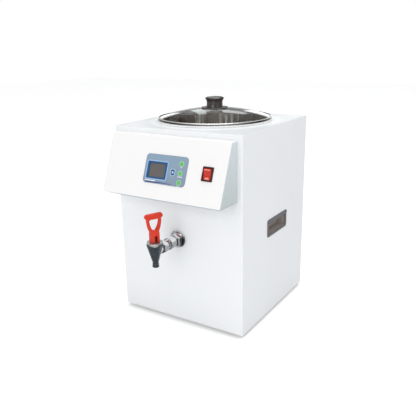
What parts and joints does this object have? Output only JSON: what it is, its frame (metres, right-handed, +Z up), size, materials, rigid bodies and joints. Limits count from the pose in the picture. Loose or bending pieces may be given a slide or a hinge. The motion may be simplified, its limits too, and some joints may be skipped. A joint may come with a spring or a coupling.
{
  "type": "paraffin wax dispenser",
  "caption": "Heated bench dispenser for molten paraffin wax: white sheet cabinet, round tank under a domed glass lid, sloped control box with display and mains rocker, and a front lever tap.",
  "frame": {"origin": "centre of the whole object's footprint, on the surface it stands on", "axes": "+Z up, the tap and control box face -Y, +X is to the right of a person facing the front"},
  "size_m": [0.3098, 0.4107, 0.4737],
  "materials": {
    "cabinet_white": "smooth white powder coat",
    "zinc_sheet": "zinc plated sheet",
    "screw_steel": "bright plated",
    "black_rubber": "matte",
    "grey_plastic": "fine texture",
    "mineral_wool": "matte felt",
    "heater_steel": "satin",
    "tank_steel": "satin stainless",
    "black_plastic": "satin",
    "overlay_blue": "satin film",
    "bezel_blue": "gloss",
    "screen_grey": "gloss",
    "indicator_blue": "gloss",
    "button_green": "gloss",
    "board_green": "solder mask",
    "brass_pillar": "bright",
    "switch_brown": "gloss",
    "rocker_red": "gloss, translucent look",
    "lid_glass": "clear tempered",
    "rim_steel": "polished",
    "knob_black": "satin phenolic",
    "tap_chrome": "polished",
    "tap_black": "gloss",
    "clear_silicone": "matte",
    "handle_red": "gloss"
  },
  "bodies": {
    "cabinet": {"cabinet_shell": "cabinet_white", "top_plate": "cabinet_white", "rear_panel": "cabinet_white", "panel_screws": "screw_steel", "base_plate": "zinc_sheet", "rubber_feet": "black_rubber", "foot_screws": "screw_steel", "handle_cup_left": "grey_plastic", "handle_cup_right": "grey_plastic", "deck_plate": "zinc_sheet", "bottom_insulation": "mineral_wool", "bottom_heater": "heater_steel", "tank": "tank_steel", "tank_bottom": "tank_steel", "tank_gasket": "clear_silicone", "outlet_strainer": "tank_steel", "heater_band": "heater_steel", "insulation_jacket": "mineral_wool", "temperature_probe": "tank_steel", "overheat_thermostat": "black_plastic", "control_box": "cabinet_white", "box_screws": "screw_steel", "display_overlay": "overlay_blue", "display_bezel": "bezel_blue", "display_screen": "screen_grey", "indicator_lens": "indicator_blue", "key_switches": "black_plastic", "controller_board": "board_green", "board_standoffs": "brass_pillar", "board_screws": "screw_steel", "switch_housing": "switch_brown", "switch_pivot": "screw_steel", "switch_terminals": "brass_pillar", "shank_gasket": "black_rubber", "shank_flange": "tap_chrome", "lock_nut": "tap_chrome", "back_nut": "tap_chrome", "tap_shank": "tap_chrome", "coupling_nut": "tap_chrome", "tap_body": "tap_black", "tap_bonnet": "tap_chrome", "tap_spring": "tank_steel", "power_inlet": "black_plastic", "power_board": "board_green"},
    "lid": {"lid_glass": "lid_glass", "lid_rim": "rim_steel", "steam_vent": "rim_steel", "knob_plate": "rim_steel", "lid_knob": "knob_black", "knob_washer": "screw_steel", "knob_screw": "screw_steel"},
    "up_button": {"button_up": "button_green"},
    "set_button": {"button_set": "button_green"},
    "down_button": {"button_down": "button_green"},
    "rocker": {"switch_rocker": "rocker_red"},
    "valve_cup": {"seat_cup": "clear_silicone"},
    "stem": {"tap_stem": "tank_steel", "handle_pin": "tank_steel"},
    "handle": {"tap_handle": "handle_red"},
    "drawer": {"fuse_drawer": "black_plastic"}
  },
  "joints": [
    {"name": "lid_lift", "type": "slide", "parent": "cabinet", "child": "lid", "axis": [0, 0, 1], "range_m": [0, 0.12]},
    {"name": "up_press", "type": "slide", "parent": "cabinet", "child": "up_button", "axis": [0, 0.9299, -0.3678], "range_m": [0, 0.0006], "stiffness_N_per_m": 1500, "springref_m": -0.0005},
    {"name": "set_press", "type": "slide", "parent": "cabinet", "child": "set_button", "axis": [0, 0.9299, -0.3678], "range_m": [0, 0.0006], "stiffness_N_per_m": 1500, "springref_m": -0.0005},
    {"name": "down_press", "type": "slide", "parent": "cabinet", "child": "down_button", "axis": [0, 0.9299, -0.3678], "range_m": [0, 0.0006], "stiffness_N_per_m": 1500, "springref_m": -0.0005},
    {"name": "mains_rock", "type": "hinge", "parent": "cabinet", "child": "rocker", "pos_m": [0.1028, -0.14891, 0.35191], "axis": [-1, 0, 0], "range_deg": [0, 20]},
    {"name": "stem_lift", "type": "slide", "parent": "cabinet", "child": "valve_cup", "axis": [0, 0, 1], "range_m": [0, 0.00209], "stiffness_N_per_m": 1500, "springref_m": -0.0025, "deforming": ["tap_spring"]},
    {"name": "handle_swivel", "type": "hinge", "parent": "valve_cup", "child": "stem", "pos_m": [0, -0.18653, 0.2215], "axis": [0, 0, 1], "continuous": true},
    {"name": "handle_tilt", "type": "hinge", "parent": "stem", "child": "handle", "pos_m": [0, -0.18653, 0.2215], "axis": [0.4067, 0.9135, 0], "range_deg": [0, 45]},
    {"name": "drawer_slide", "type": "slide", "parent": "cabinet", "child": "drawer", "axis": [0, 1, 0], "range_m": [0, 0.017]}
  ],
  "couplings": [
    {"joint": "handle_tilt", "follows": "stem_lift", "rad_per_m": 333.33}
  ]
}
